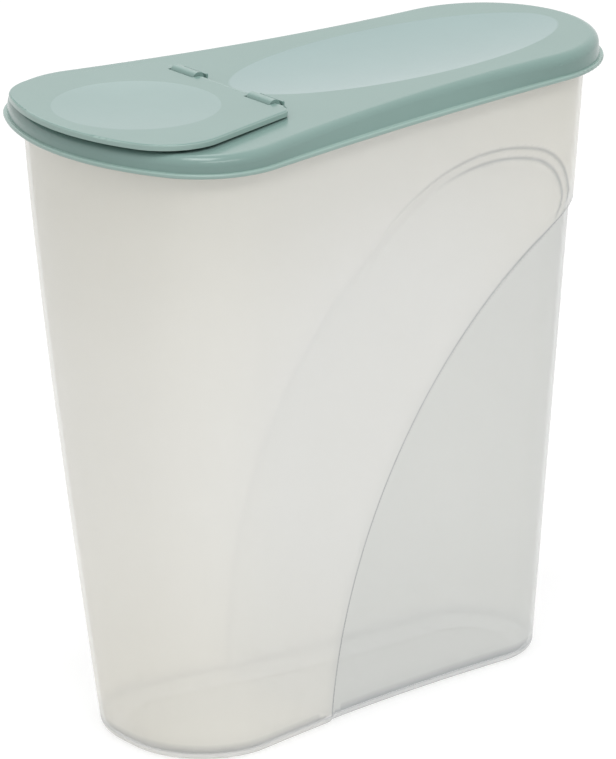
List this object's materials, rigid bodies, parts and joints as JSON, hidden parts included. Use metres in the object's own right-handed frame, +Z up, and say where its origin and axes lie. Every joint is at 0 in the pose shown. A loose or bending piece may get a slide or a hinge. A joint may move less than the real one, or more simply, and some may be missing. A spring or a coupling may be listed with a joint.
{
  "type": "cereal container",
  "caption": "Tall translucent dry-food container with a push-on lid and a hinged flap over the pour opening, a side grip and a curved step in its walls.",
  "frame": {"origin": "on the table plane, under the middle of the lid's outline", "axes": "+X from the spout to the grip end, +Y across the container, +Z up"},
  "size_m": [0.273, 0.1454, 0.2754],
  "materials": {
    "clear_plastic": "milky translucent polypropylene",
    "lid_plastic": "satin sage green polypropylene",
    "flap_plastic": "satin sage green polypropylene"
  },
  "bodies": {
    "tub": {"tub": "clear_plastic"},
    "lid": {"lid": "lid_plastic"},
    "flap": {"flap": "flap_plastic"}
  },
  "joints": [
    {"name": "lid_lift", "type": "slide", "parent": "tub", "child": "lid", "axis": [0, 0, 1], "range_m": [0, 0.06]},
    {"name": "flap_hinge", "type": "hinge", "parent": "lid", "child": "flap", "pos_m": [-0.0502, 0, 0.27255], "axis": [0, 1, 0], "range_deg": [0, 130]}
  ]
}
